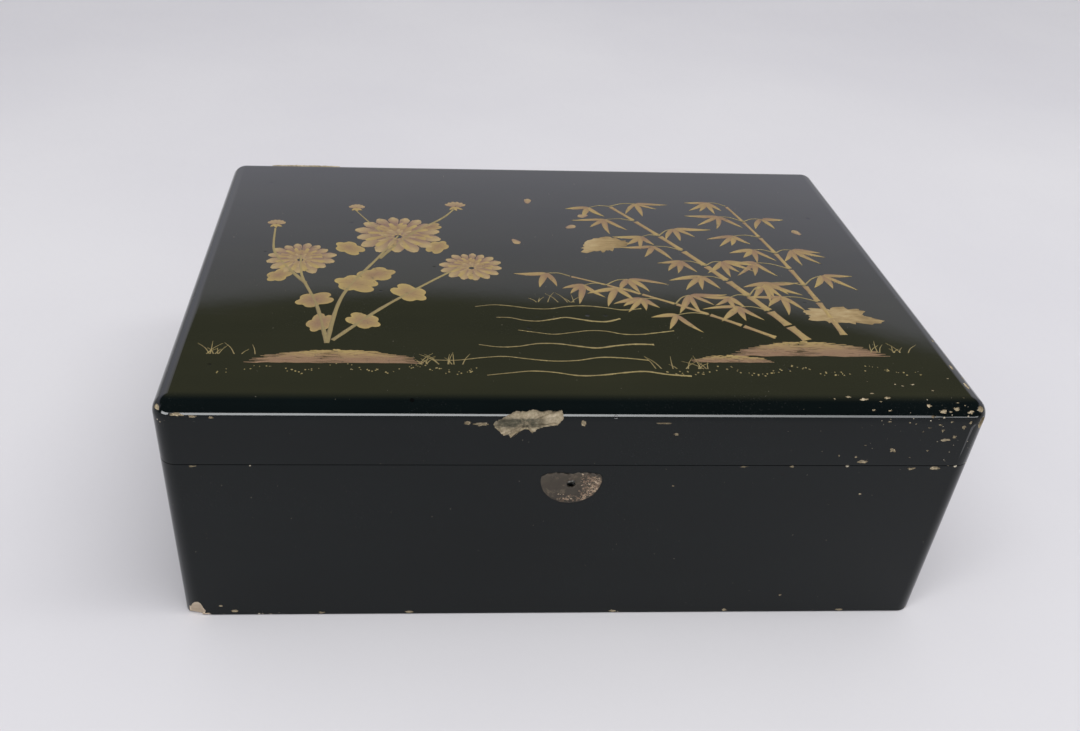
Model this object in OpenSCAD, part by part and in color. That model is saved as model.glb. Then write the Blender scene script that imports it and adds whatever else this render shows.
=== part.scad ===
// Lacquered wooden deed box with a hinged lid and a small cam lock.
// X runs along the width, Y from front to back and Z up. The origin is the
// middle of the underside. All sizes are in millimetres.

/* [Box] */
// Width over the side boards
box_w = 303; // [240:1:420]
// Depth from front face to back face
box_d = 212; // [160:1:320]
// Height with the lid shut
box_h = 106; // [90:1:160]
// Height of the lid above the parting line
lid_h = 27; // [24:0.5:40]
// Radius of the four upright corners
corner_r = 7; // [5:0.5:9]
// Radius along the top edges of the lid, no more than the corner radius
edge_r = 7; // [3:0.5:9]

/* [Boards] */
// Thickness of the side boards and lid rails
wall_t = 8; // [7.5:0.25:10]
// Thickness of the bottom board
bottom_t = 7; // [5:0.5:10]
// How far the bottom board is let into the side boards
rabbet = 4; // [2:0.5:5]
// Thickness of the lid's top board
top_t = 9; // [8:0.5:12]
// Fingers up each corner joint of the body
body_fingers = 5; // [3:2:9]
// Fingers up each corner joint of the lid
lid_fingers = 3; // [3:2:5]
// Gap between lid and body along the parting line
parting_gap = 0.3; // [0.2:0.05:0.6]

/* [Hinges] */
// Length of each butt hinge
hinge_len = 32; // [24:1:44]
// Distance from the end of the box to the middle of its hinge
hinge_inset = 37; // [28:1:60]
// Strip of wood left between a hinge leaf and the inner face
leaf_margin = 0.2; // [0:0.1:0.5]
// Thickness of a hinge leaf
leaf_t = 1; // [0.8:0.1:1.4]
// Radius of the hinge knuckles
knuckle_r = 2.2; // [1.8:0.1:2.4]
// Radius of the hinge pin
pin_r = 0.9; // [0.6:0.05:1.1]
// Running clearance round the hinge pin
pin_clear = 0.05; // [0.02:0.01:0.09]
// Knuckles on each hinge, counted over both leaves
knuckles = 5; // [3:2:7]
// Slope of the back edges that meet when the lid is fully open
stop_slope = 50; // [46:1:60]

/* [Screws] */
// Shank radius of every wood screw
screw_r = 0.7; // [0.5:0.05:0.9]
// Head radius of every wood screw
screw_head_r = 1.4; // [1.2:0.1:1.8]
// Length of every wood screw
screw_len = 5.5; // [4:0.5:7]
// Screws in each hinge leaf
leaf_screws = 3; // [2:1:4]

/* [Lock] */
// Distance of the keyhole below the parting line
key_drop = 9; // [8.5:0.25:12]
// Radius of the keyhole
keyhole_r = 1.7; // [1.4:0.05:2]
// Width of the lock plate
plate_w = 23; // [18:0.5:30]
// Depth of the plate's rounded foot below the keyhole
plate_drop = 9.5; // [8:0.5:12]
// Rise of the plate's shoulders above the keyhole
plate_rise = 5.8; // [4:0.2:6.5]
// Thickness of the lock plate
plate_t = 0.8; // [0.5:0.1:1.2]
// How far the lock plate stands proud of the front
plate_proud = 0.2; // [0:0.05:0.4]
// Width of the lock case
case_w = 30; // [30:1:40]
// Depth of the lock case, front plate to cap
case_d = 5.4; // [5.2:0.1:5.6]
// Thickness of the case's sheet metal
sheet_t = 0.7; // [0.6:0.05:0.9]
// Width of the lock's rim plate and of its cap
flange_w = 40; // [40:1:50]
// Radius from the cam's axis to the middle of its tip
cam_arm = 3.4; // [3:0.1:3.6]
// Angle of the cam on either side of upright
cam_swing = 32; // [28:1:34]
// Sliding clearance inside the lock
lock_clear = 0.15; // [0.1:0.01:0.2]

/* [Hidden] */
$fn = 64;

// Half sizes and the parting line
half_w = box_w / 2;
half_d = box_d / 2;
body_h = box_h - lid_h;
rim_z = body_h - parting_gap / 2;
lid_rim_z = body_h + parting_gap / 2;
key_z = body_h - key_drop;
rail_top_z = box_h - top_t;
round_r = min(edge_r, corner_r, top_t - 0.5);
over = 1;

// Hinges: the pin's axis lies on the parting line, one knuckle radius inside the back face
axis_y = half_d - knuckle_r;
hinge_x = half_w - hinge_inset;
channel_r = knuckle_r + 0.3;
channel_len = hinge_len + 0.4;
knuckle_len = hinge_len / knuckles;
knuckle_gap = 0.1;
tongue_gap = 0.2;
pin_hole_r = pin_r + pin_clear;
leaf_y = half_d - wall_t + leaf_margin;
leaf_flat = axis_y - knuckle_r - tongue_gap - leaf_y;
leaf_screw_y = leaf_y + leaf_flat / 2;
leaf_head_r = min(screw_head_r, leaf_flat / 2 - 0.1);
slot_w = 0.4;
slot_depth = 0.4;
head_rim = 0.15;

// Lock: everything hangs from the rim, the inner face and the keyhole
inner_y = -half_d + wall_t;
case_front_y = inner_y - case_d;
cap_t = 0.6;
cavity_front_y = case_front_y + sheet_t;
cavity_back_y = inner_y - cap_t;
case_drop = 8.5;
case_bottom_z = key_z - case_drop;
flange_screw_x = (case_w + flange_w) / 4;
rim_screw_y = (case_front_y + inner_y) / 2;
cap_screw_drop = 4;
cap_screw_z = key_z - cap_screw_drop;
bolt_t = 1.5;
bolt_y = (cavity_front_y + cavity_back_y) / 2;
bolt_top_z = rim_z - sheet_t - lock_clear;
bolt_bottom_z = key_z + cam_arm * cos(cam_swing) - 0.5;
bolt_travel = 2 * cam_arm * sin(cam_swing);
bolt_tail_x = -12;
bolt_shoulder_x = 3.5;
ledge_t = 1;
ledge_top_z = bolt_bottom_z - 1.2;
ledge_end_x = -4.6;
finger_h = 2.5;
cam_tip_r = 0.9;
cam_arm_w = 1;
hub_r = key_z + 2.2 < bolt_bottom_z ? 2.2 : bolt_bottom_z - key_z - lock_clear;
rear_journal_r = 1.2;
journal_clear = 0.08;
socket_w = 1.6;
staple_x = bolt_shoulder_x + bolt_travel / 2 + 1.9;
staple_t = 2;
staple_gap = 0.6;
finger_tip_x = staple_x - staple_gap + bolt_travel / 2;
staple_bar = 1.3;

// A rounded upright block between two heights, its middle on the Z axis
module rounded_block(w, d, z0, z1, r) {
  translate([-w / 2 + r, -d / 2, z0]) cube([w - 2 * r, d, z1 - z0]);
  translate([-w / 2, -d / 2 + r, z0]) cube([w, d - 2 * r, z1 - z0]);
  for (sx = [-1, 1], sy = [-1, 1])
    translate([sx * (w / 2 - r), sy * (d / 2 - r), z0]) cylinder(r = r, h = z1 - z0);
}

// The box's outline less its inside
module wall_ring(z0, z1) {
  difference() {
    rounded_block(box_w, box_d, z0, z1, corner_r);
    translate([-half_w + wall_t, -half_d + wall_t, z0 - over])
      cube([box_w - 2 * wall_t, box_d - 2 * wall_t, z1 - z0 + 2 * over]);
  }
}

// Where the four corner blocks of a finger joint belong to the long boards
module corner_fingers(z0, z1, count, long) {
  step = (z1 - z0) / count;
  for (i = [0 : count - 1], sx = [-1, 1], sy = [-1, 1])
    if ((i % 2 == 0) == long)
      translate([sx * (half_w - wall_t / 2) - wall_t / 2, sy * (half_d - wall_t / 2) - wall_t / 2, z0 + i * step])
        cube([wall_t, wall_t, step]);
}

// The stretch of one wall between its corners: side is [-1, 0], [1, 0], [0, -1] or [0, 1]
module straight_stretch(side, z0, z1) {
  long_x = side[0] == 0;
  size = long_x ? [box_w - 2 * wall_t, wall_t] : [wall_t, box_d - 2 * wall_t];
  middle = long_x ? [0, side[1] * (half_d - wall_t / 2)] : [side[0] * (half_w - wall_t / 2), 0];
  translate([middle[0] - size[0] / 2, middle[1] - size[1] / 2, z0]) cube([size[0], size[1], z1 - z0]);
}

// The corner blocks at one side's two ends
module end_blocks(side, z0, z1) {
  long_x = side[0] == 0;
  for (s = [-1, 1]) {
    cx = long_x ? s * (half_w - wall_t / 2) : side[0] * (half_w - wall_t / 2);
    cy = long_x ? side[1] * (half_d - wall_t / 2) : s * (half_d - wall_t / 2);
    translate([cx - wall_t / 2, cy - wall_t / 2, z0]) cube([wall_t, wall_t, z1 - z0]);
  }
}

// One board of a four-sided frame, with its share of the finger joints
module frame_board(side, z0, z1, count) {
  intersection() {
    wall_ring(z0, z1);
    union() {
      straight_stretch(side, z0, z1);
      intersection() {
        end_blocks(side, z0, z1);
        corner_fingers(z0, z1, count, side[0] == 0);
      }
    }
  }
}

// The wedge between the two back edges, below (-1) or above (1) the parting line
module stop_wedge(way) {
  reach = knuckle_r + over;
  translate([-half_w - over, axis_y, body_h])
    rotate([90, 0, 90])
      linear_extrude(box_w + 2 * over)
        polygon([[0, 0], [reach, 0], [reach, way * reach * tan(stop_slope)]]);
}

// Hollows in a back board for both hinges: way is -1 for the body and 1 for the lid
module hinge_seats(way) {
  for (s = [-1, 1]) translate([s * hinge_x, 0, 0]) {
    translate([-channel_len / 2, axis_y, body_h]) rotate([0, 90, 0]) cylinder(r = channel_r, h = channel_len);
    translate([-hinge_len / 2, leaf_y, body_h + (way < 0 ? -parting_gap / 2 - leaf_t : 0)])
      cube([hinge_len, axis_y - leaf_y, leaf_t + parting_gap / 2]);
    leaf_screw_places() translate([0, 0, body_h + way * (parting_gap / 2)])
      cylinder_along(way, screw_r, screw_len);
  }
}

module leaf_screw_places() {
  for (i = [0 : leaf_screws - 1])
    translate([hinge_len * ((i + 0.5) / leaf_screws - 0.5), leaf_screw_y, 0]) children();
}

// A cylinder from the plane z = 0, up (1) or down (-1)
module cylinder_along(way, r, h) {
  translate([0, 0, way < 0 ? -h : 0]) cylinder(r = r, h = h);
}

// Holes and recesses in the front board for the lock and its plate
module lock_seats() {
  translate([-case_w / 2, case_front_y, case_bottom_z])
    cube([case_w, case_d + over, rim_z - case_bottom_z + over]);
  translate([-flange_w / 2, case_front_y, rim_z - sheet_t]) cube([flange_w, case_d + over, sheet_t + over]);
  translate([-flange_w / 2, inner_y - cap_t, case_bottom_z])
    cube([flange_w, cap_t + over, rim_z - case_bottom_z + over]);
  translate([0, -half_d + plate_t - plate_proud, 0]) rotate([90, 0, 0])
    linear_extrude(plate_t + over) plate_outline();
  keyhole_bore(keyhole_r);
  rim_screw_places() screw_body(screw_head_r, screw_len);
  cap_screw_places() screw_body(screw_head_r, screw_len);
}

module keyhole_bore(r) {
  translate([0, -half_d - over, key_z]) rotate([-90, 0, 0]) cylinder(r = r, h = wall_t + over);
}

module rim_screw_places() {
  for (s = [-1, 1]) translate([s * flange_screw_x, rim_screw_y, rim_z]) children();
}

module cap_screw_places() {
  for (s = [-1, 1]) translate([s * flange_screw_x, inner_y, cap_screw_z]) rotate([-90, 0, 0]) children();
}

// Outline of the lock plate: a rounded foot below and two shoulders with a dip between them
plate_steps = 48;
dip = 0.9;
dip_w = 3;
function plate_x(a) = plate_w / 2 * cos(a);
function plate_y(a) = sin(a) < 0
  ? key_z + plate_rise / 3 + (plate_drop + plate_rise / 3) * sin(a)
  : key_z + plate_rise / 3 + plate_rise * 2 / 3 * pow(sin(a), 0.45)
    - dip * exp(-pow(plate_x(a) / dip_w, 2));
module plate_outline() {
  polygon([for (i = [0 : plate_steps - 1]) [plate_x(i * 360 / plate_steps), plate_y(i * 360 / plate_steps)]]);
}

// A countersunk head and its shank, the head's face on z = 0 and the shank going down
module screw_body(head_r, shank_end) {
  translate([0, 0, -shank_end]) cylinder(r = screw_r, h = shank_end - head_rim);
  translate([0, 0, screw_r - head_r - head_rim]) cylinder(r1 = screw_r, r2 = head_r, h = head_r - screw_r);
  translate([0, 0, -head_rim]) cylinder(r = head_r, h = head_rim);
}

module wood_screw(head_r) {
  difference() {
    screw_body(head_r, screw_len);
    translate([-head_r - over, -slot_w / 2, -slot_depth]) cube([2 * (head_r + over), slot_w, over]);
  }
}

// The hole that a wood screw passes through, open above its head
module countersink(head_r) {
  screw_body(head_r, screw_len + over);
  translate([0, 0, -head_rim]) cylinder(r = head_r, h = head_rim + over);
}

module front_board() {
  color([0.05, 0.05, 0.05]) difference() {
    frame_board([0, -1], 0, rim_z, body_fingers);
    bottom_block();
    lock_seats();
  }
}

module back_board() {
  color([0.05, 0.05, 0.05]) difference() {
    frame_board([0, 1], 0, rim_z, body_fingers);
    bottom_block();
    stop_wedge(-1);
    hinge_seats(-1);
  }
}

module side_board(s) {
  color([0.05, 0.05, 0.05]) difference() {
    frame_board([s, 0], 0, rim_z, body_fingers);
    bottom_block();
    stop_wedge(-1);
  }
}

// The space of the bottom board, let into the rabbets of all four boards
module bottom_block() {
  w = box_w - 2 * (wall_t - rabbet);
  d = box_d - 2 * (wall_t - rabbet);
  translate([-w / 2, -d / 2, 0]) cube([w, d, bottom_t]);
}

module bottom_board() {
  color([0.09, 0.07, 0.05]) bottom_block();
}

module lid_front_rail() {
  color([0.05, 0.05, 0.05]) difference() {
    frame_board([0, -1], lid_rim_z, rail_top_z, lid_fingers);
    translate([-flange_w / 2, case_front_y, lid_rim_z - over]) cube([flange_w, case_d, sheet_t + over]);
    strike_screw_places() screw_body(screw_head_r, screw_len);
  }
}

module lid_back_rail() {
  color([0.05, 0.05, 0.05]) difference() {
    frame_board([0, 1], lid_rim_z, rail_top_z, lid_fingers);
    stop_wedge(1);
    hinge_seats(1);
  }
}

module lid_side_rail(s) {
  color([0.05, 0.05, 0.05]) difference() {
    frame_board([s, 0], lid_rim_z, rail_top_z, lid_fingers);
    stop_wedge(1);
  }
}

// Half the section of the lid's top board at its edge, from its inner line outwards
module edge_section() {
  translate([0, rail_top_z]) square([corner_r, top_t - round_r]);
  if (corner_r > round_r) translate([0, box_h - round_r]) square([corner_r - round_r, round_r]);
  translate([corner_r - round_r, box_h - round_r]) intersection() {
    circle(r = round_r);
    square(round_r);
  }
}

module lid_top_board() {
  in_w = box_w - 2 * corner_r;
  in_d = box_d - 2 * corner_r;
  color([0.09, 0.1, 0.07]) union() {
    translate([-in_w / 2, -in_d / 2, rail_top_z]) cube([in_w, in_d, top_t]);
    for (s = [-1, 1]) {
      translate([s * in_w / 2, s * in_d / 2, 0]) rotate([90, 0, s < 0 ? 180 : 0]) linear_extrude(in_d) edge_section();
      translate([s * -in_w / 2, s * in_d / 2, 0]) rotate([90, 0, s < 0 ? -90 : 90])
        linear_extrude(in_w) edge_section();
    }
    for (i = [0 : 3])
      translate([(i == 0 || i == 3 ? 1 : -1) * in_w / 2, (i < 2 ? 1 : -1) * in_d / 2, 0])
        rotate([0, 0, 90 * i]) rotate_extrude(angle = 90) edge_section();
  }
}

// One hinge leaf at the origin of its hinge: way -1 is the body's and 1 the lid's
module hinge_leaf(way) {
  flat_z = way < 0 ? body_h - parting_gap / 2 - leaf_t : body_h + parting_gap / 2;
  color([0.45, 0.34, 0.16]) difference() {
    union() {
      translate([-hinge_len / 2, leaf_y, flat_z]) cube([hinge_len, leaf_flat, leaf_t]);
      for (i = [0 : knuckles - 1])
        if ((i % 2 == 0) == (way < 0)) {
          x0 = -hinge_len / 2 + i * knuckle_len + (i > 0 ? knuckle_gap / 2 : 0);
          x1 = -hinge_len / 2 + (i + 1) * knuckle_len - (i < knuckles - 1 ? knuckle_gap / 2 : 0);
          translate([x0, axis_y, body_h]) rotate([0, 90, 0]) cylinder(r = knuckle_r, h = x1 - x0);
          translate([x0, axis_y - knuckle_r - tongue_gap - over / 2, flat_z])
            cube([x1 - x0, knuckle_r + tongue_gap, leaf_t]);
        }
    }
    translate([-hinge_len / 2 - over, axis_y, body_h]) rotate([0, 90, 0])
      cylinder(r = pin_hole_r, h = hinge_len + 2 * over);
    leaf_screw_places() translate([0, 0, body_h + way * parting_gap / 2])
      rotate([way < 0 ? 0 : 180, 0, 0]) countersink(leaf_head_r);
  }
}

module hinge_pin() {
  color([0.5, 0.4, 0.2])
    translate([-hinge_len / 2, axis_y, body_h]) rotate([0, 90, 0]) cylinder(r = pin_r, h = hinge_len);
}

module hinge_screws(way) {
  color([0.45, 0.35, 0.18])
    for (s = [-1, 1]) translate([s * hinge_x, 0, 0]) leaf_screw_places()
      translate([0, 0, body_h + way * parting_gap / 2]) rotate([way < 0 ? 0 : 180, 0, 30]) wood_screw(leaf_head_r);
}

module lock_plate() {
  color([0.23, 0.19, 0.14]) difference() {
    translate([0, -half_d + plate_t - plate_proud, 0]) rotate([90, 0, 0]) linear_extrude(plate_t) plate_outline();
    keyhole_bore(keyhole_r);
  }
}

// Pressed case, open at the back: front plate, rim plate with the staple's slot, and three walls
module lock_case() {
  color([0.42, 0.33, 0.17]) difference() {
    union() {
      translate([-case_w / 2, case_front_y, case_bottom_z])
        cube([case_w, case_d - cap_t, rim_z - case_bottom_z]);
      translate([-flange_w / 2, case_front_y, rim_z - sheet_t]) cube([flange_w, case_d - cap_t, sheet_t]);
    }
    difference() {
      translate([-case_w / 2 + sheet_t, cavity_front_y, case_bottom_z + sheet_t])
        cube([case_w - 2 * sheet_t, case_d, rim_z - case_bottom_z - 2 * sheet_t]);
      bolt_ledge();
    }
    translate([staple_x - lock_clear, cavity_front_y, rim_z - sheet_t - over])
      cube([staple_t + 2 * lock_clear, cavity_back_y - cavity_front_y + over, sheet_t + 2 * over]);
    keyhole_bore(keyhole_r);
    rim_screw_places() countersink(screw_head_r);
  }
}

// The ledge inside the case that the spring stands on
module bolt_ledge() {
  ledge_x = -case_w / 2 + sheet_t;
  ledge_d = cavity_back_y - cavity_front_y - 0.5;
  translate([ledge_x, cavity_front_y, ledge_top_z - ledge_t]) cube([ledge_end_x - ledge_x, ledge_d, ledge_t]);
  translate([ledge_end_x - 0.5, cavity_front_y, ledge_top_z - ledge_t]) cube([0.5, ledge_d, ledge_t + 0.5]);
}

module lock_cap() {
  color([0.42, 0.33, 0.17]) difference() {
    translate([-flange_w / 2, inner_y - cap_t, case_bottom_z]) cube([flange_w, cap_t, rim_z - case_bottom_z]);
    translate([0, inner_y - cap_t - over, key_z]) rotate([-90, 0, 0])
      cylinder(r = rear_journal_r + journal_clear, h = cap_t + 2 * over);
    cap_screw_places() countersink(screw_head_r);
  }
}

// The bolt, drawn back at rest: a plate with a notch for the cam and a finger for the staple
module lock_bolt() {
  rest_x = -bolt_travel / 2;
  notch_w = 2 * (cam_tip_r + lock_clear);
  notch_top = key_z + cam_arm + cam_tip_r + lock_clear;
  color([0.5, 0.5, 0.48]) translate([rest_x, bolt_y - bolt_t / 2, 0]) difference() {
    union() {
      translate([bolt_tail_x, 0, bolt_bottom_z])
        cube([bolt_shoulder_x - bolt_tail_x, bolt_t, bolt_top_z - bolt_bottom_z]);
      translate([bolt_tail_x, 0, bolt_top_z - finger_h])
        cube([finger_tip_x - bolt_tail_x, bolt_t, finger_h]);
    }
    translate([-notch_w / 2, -over, bolt_bottom_z - over])
      cube([notch_w, bolt_t + 2 * over, notch_top - bolt_bottom_z + over]);
  }
}

// The cam that the key turns, with its arm leaning towards the bolt's tail at rest
module lock_cam() {
  color([0.5, 0.5, 0.48]) difference() {
    union() {
      translate([0, case_front_y, key_z]) rotate([-90, 0, 0])
        cylinder(r = keyhole_r - journal_clear, h = sheet_t + over);
      translate([0, cavity_front_y + 0.1, key_z]) rotate([-90, 0, 0])
        cylinder(r = hub_r, h = cavity_back_y - cavity_front_y - 0.2);
      translate([0, cavity_back_y - over, key_z]) rotate([-90, 0, 0])
        cylinder(r = rear_journal_r, h = cap_t + over);
      translate([0, bolt_y, key_z]) rotate([0, -cam_swing, 0]) {
        translate([-cam_arm_w / 2, -bolt_t / 2, 0]) cube([cam_arm_w, bolt_t, cam_arm]);
        translate([0, -bolt_t / 2, cam_arm]) rotate([-90, 0, 0]) cylinder(r = cam_tip_r, h = bolt_t);
      }
    }
    translate([-socket_w / 2, case_front_y - over, key_z - socket_w / 2])
      cube([socket_w, case_d - 2 * cap_t, socket_w]);
  }
}

// A bowed leaf that stands on the ledge and bears on the underside of the bolt's tail
spring_t = 0.3;
spring_steps = 12;
spring_clear = 0.05;
module lock_spring() {
  x0 = -case_w / 2 + sheet_t + 0.1;
  span = ledge_end_x - 0.6 - x0;
  rise = bolt_bottom_z - ledge_top_z - spring_t - spring_clear;
  color([0.6, 0.5, 0.25]) translate([0, bolt_y + bolt_t / 2, 0]) rotate([90, 0, 0]) linear_extrude(bolt_t)
    polygon([
      for (i = [0 : spring_steps])
        [x0 + span * i / spring_steps, ledge_top_z + rise * sin(180 * i / spring_steps)],
      for (i = [spring_steps : -1 : 0])
        [x0 + span * i / spring_steps, ledge_top_z + rise * sin(180 * i / spring_steps) + spring_t],
    ]);
}

module lock_screws() {
  color([0.45, 0.35, 0.18]) {
    rim_screw_places() rotate([0, 0, 25]) wood_screw(screw_head_r);
    cap_screw_places() rotate([0, 0, 70]) wood_screw(screw_head_r);
  }
}

module strike_screw_places() {
  for (s = [-1, 1]) translate([s * flange_screw_x, rim_screw_y, lid_rim_z]) rotate([180, 0, 0]) children();
}

// The plate let into the lid's rim, with the staple that the bolt's finger enters
module strike_plate() {
  staple_d = cavity_back_y - cavity_front_y - 0.5;
  eye_w = bolt_t + 2 * lock_clear;
  eye_bottom_z = bolt_top_z - finger_h - lock_clear;
  color([0.42, 0.33, 0.17]) difference() {
    union() {
      translate([-flange_w / 2, case_front_y, lid_rim_z]) cube([flange_w, case_d, sheet_t]);
      translate([staple_x, bolt_y - staple_d / 2, eye_bottom_z - staple_bar])
        cube([staple_t, staple_d, lid_rim_z - eye_bottom_z + staple_bar + sheet_t]);
    }
    translate([staple_x - over, bolt_y - eye_w / 2, eye_bottom_z])
      cube([staple_t + 2 * over, eye_w, bolt_top_z - eye_bottom_z + lock_clear]);
    strike_screw_places() countersink(screw_head_r);
  }
}

module strike_screws() {
  color([0.45, 0.35, 0.18]) strike_screw_places() rotate([0, 0, 50]) wood_screw(screw_head_r);
}

front_board();
back_board();
side_board(-1);  // left_board
side_board(1);  // right_board
bottom_board();
lid_front_rail();
lid_back_rail();
lid_side_rail(-1);  // lid_left_rail
lid_side_rail(1);  // lid_right_rail
lid_top_board();
translate([-hinge_x, 0, 0]) hinge_leaf(-1);  // hinge_left_body_leaf
translate([-hinge_x, 0, 0]) hinge_leaf(1);  // hinge_left_lid_leaf
translate([-hinge_x, 0, 0]) hinge_pin();  // hinge_left_pin
translate([hinge_x, 0, 0]) hinge_leaf(-1);  // hinge_right_body_leaf
translate([hinge_x, 0, 0]) hinge_leaf(1);  // hinge_right_lid_leaf
translate([hinge_x, 0, 0]) hinge_pin();  // hinge_right_pin
hinge_screws(-1);  // hinge_body_screws
hinge_screws(1);  // hinge_lid_screws
lock_plate();
lock_case();
lock_cap();
lock_bolt();
lock_cam();
lock_spring();
lock_screws();
strike_plate();
strike_screws();
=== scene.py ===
import math
import random

import bmesh
import bpy
from mathutils import Matrix, Vector, noise


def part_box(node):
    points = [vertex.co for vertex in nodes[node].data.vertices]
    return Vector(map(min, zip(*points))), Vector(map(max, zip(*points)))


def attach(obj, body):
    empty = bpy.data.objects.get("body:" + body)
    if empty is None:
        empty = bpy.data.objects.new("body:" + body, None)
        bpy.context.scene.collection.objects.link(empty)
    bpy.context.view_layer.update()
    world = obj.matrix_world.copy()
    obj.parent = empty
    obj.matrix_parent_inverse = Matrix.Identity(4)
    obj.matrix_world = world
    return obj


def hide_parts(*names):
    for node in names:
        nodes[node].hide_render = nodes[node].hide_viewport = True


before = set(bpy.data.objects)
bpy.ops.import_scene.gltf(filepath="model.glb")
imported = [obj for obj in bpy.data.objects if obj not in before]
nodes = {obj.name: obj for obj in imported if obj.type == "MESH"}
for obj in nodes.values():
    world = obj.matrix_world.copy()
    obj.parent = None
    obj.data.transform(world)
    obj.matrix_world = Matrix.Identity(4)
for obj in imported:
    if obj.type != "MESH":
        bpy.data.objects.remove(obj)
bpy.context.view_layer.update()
MM = 0.001

# Places taken from the CAD nodes, in millimetres
lid_low, lid_high = (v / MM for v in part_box("lid_top_board"))
LID_TOP = lid_high[2]
FRONT = lid_low[1]
HALF_W = lid_high[0]
HALF_D = lid_high[1]

# Sizes chosen here, in millimetres
CORNER = 7.0
QUARTER = CORNER * math.pi / 2
GILT_T = 0.1
SKIN_TOP = LID_TOP - GILT_T
GILT_FOOT = SKIN_TOP - 0.04
WELD = 1e-4

# Degrees: faces that meet flatter than the first merge, and pits look smooth under the second
FLAT_UNDER = 0.4
PIT_SMOOTH_UNDER = 30


# Shader helpers
class Sock:
    """A socket in a material's node tree. Arithmetic on it adds Math nodes."""

    def __init__(self, mat, out):
        self.mat, self.out = mat, out

    def _math(self, op, *values, clamp=False):
        return self.mat.node("ShaderNodeMath", {"operation": op, "use_clamp": clamp}, values)

    def __add__(self, v):
        return self._math("ADD", self, v)

    def __radd__(self, v):
        return self._math("ADD", v, self)

    def __sub__(self, v):
        return self._math("SUBTRACT", self, v)

    def __rsub__(self, v):
        return self._math("SUBTRACT", v, self)

    def __mul__(self, v):
        return self._math("MULTIPLY", self, v)

    def __rmul__(self, v):
        return self._math("MULTIPLY", v, self)

    def clip(self):
        """Held between 0 and 1."""
        return self._math("ADD", self, 0.0, clamp=True)

    def step(self, a, b):
        """0 below a, 1 above b, smooth between."""
        return self.mat.node("ShaderNodeMapRange", {"interpolation_type": "SMOOTHSTEP"},
                             {"Value": self, "From Min": a, "From Max": b})


class Finish:
    """The nodes of one procedural material around a Principled shader, or of the world."""

    def __init__(self, name, world=None, **fixed):
        self.mat = world or bpy.data.materials.new(name)
        self.mat.use_nodes = True
        self.tree = self.mat.node_tree
        self.tree.nodes.clear()
        if world is None:
            out = self.add("ShaderNodeOutputMaterial")
            self.bsdf = self.add("ShaderNodeBsdfPrincipled")
            self.put(out.inputs[0], Sock(self, self.bsdf.outputs[0]))
            for key, value in fixed.items():
                self.set(key, value)

    def add(self, kind, settings=None, values=()):
        """Adds a node, sets its properties and fills its inputs by number or by name."""
        n = self.tree.nodes.new(kind)
        for key, value in (settings or {}).items():
            setattr(n, key, value)
        pairs = values.items() if isinstance(values, dict) else enumerate(values)
        for key, value in pairs:
            self.put(n.inputs[key], value)
        return n

    def node(self, kind, settings=None, values=(), output=0):
        return Sock(self, self.add(kind, settings, values).outputs[output])

    def put(self, socket, value):
        if isinstance(value, Sock):
            self.tree.links.new(value.out, socket)
        elif isinstance(value, (tuple, list)) and len(value) == 3 and socket.type == "RGBA":
            socket.default_value = (*value, 1.0)
        else:
            socket.default_value = value

    def set(self, name, value):
        self.put(self.bsdf.inputs["Specular IOR Level" if name == "Specular" else name], value)

    def coords(self):
        return self.node("ShaderNodeTexCoord", output="Object")

    def split(self, vector):
        """The three parts of a vector."""
        return [Sock(self, out) for out in self.add("ShaderNodeSeparateXYZ", None, [vector]).outputs]

    def xyz(self):
        """The place on the object, in millimetres."""
        return [part * 1000.0 for part in self.split(self.coords())]

    def noise(self, scale, detail=3.0, rough=0.55, stretch=(1, 1, 1), distort=0.0):
        """Noise with features about 1000 / scale millimetres across."""
        v = self.node("ShaderNodeMapping", None, {"Vector": self.coords(), "Scale": stretch})
        return self.node("ShaderNodeTexNoise", None, {"Vector": v, "Scale": scale, "Detail": detail,
                                                      "Roughness": rough, "Distortion": distort})

    def cells(self, scale):
        """Distance from the nearest of many scattered points, in cells."""
        return self.node("ShaderNodeTexVoronoi", {"feature": "F1"}, {"Vector": self.coords(), "Scale": scale},
                         "Distance")

    def mix(self, factor, a, b):
        return self.node("ShaderNodeMix", {"data_type": "RGBA"}, {0: factor, 6: a, 7: b}, 2)

    def ramp(self, value, *stops):
        n = self.add("ShaderNodeValToRGB", None, [value])
        ramp = n.color_ramp
        while len(ramp.elements) > 1:
            ramp.elements.remove(ramp.elements[-1])
        for i, (place, colour) in enumerate(stops):
            e = ramp.elements[0] if i == 0 else ramp.elements.new(place)
            e.position, e.color = place, (*colour, 1.0)
        return Sock(self, n.outputs[0])

    def bump(self, height, strength, distance):
        self.set("Normal", self.node("ShaderNodeBump", None,
                                     {"Height": height, "Strength": strength, "Distance": distance}))


# Mesh helpers
def piece(name, bm, finishes, body, stands_for=(), smooth_under=40):
    """Turns a bmesh drawn in millimetres into a piece that rides on a body."""
    me = bpy.data.meshes.new(name)
    bmesh.ops.scale(bm, vec=(MM, MM, MM), verts=bm.verts)
    bmesh.ops.recalc_face_normals(bm, faces=bm.faces)
    bm.to_mesh(me)
    bm.free()
    for f in finishes:
        me.materials.append(f.mat)
    for p in me.polygons:
        p.use_smooth = True
    me.set_sharp_from_angle(angle=math.radians(smooth_under))
    ob = bpy.data.objects.new(name, me)
    bpy.context.scene.collection.objects.link(ob)
    if body:
        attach(ob, body)
    if stands_for:
        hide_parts(*stands_for)
    return ob


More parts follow.
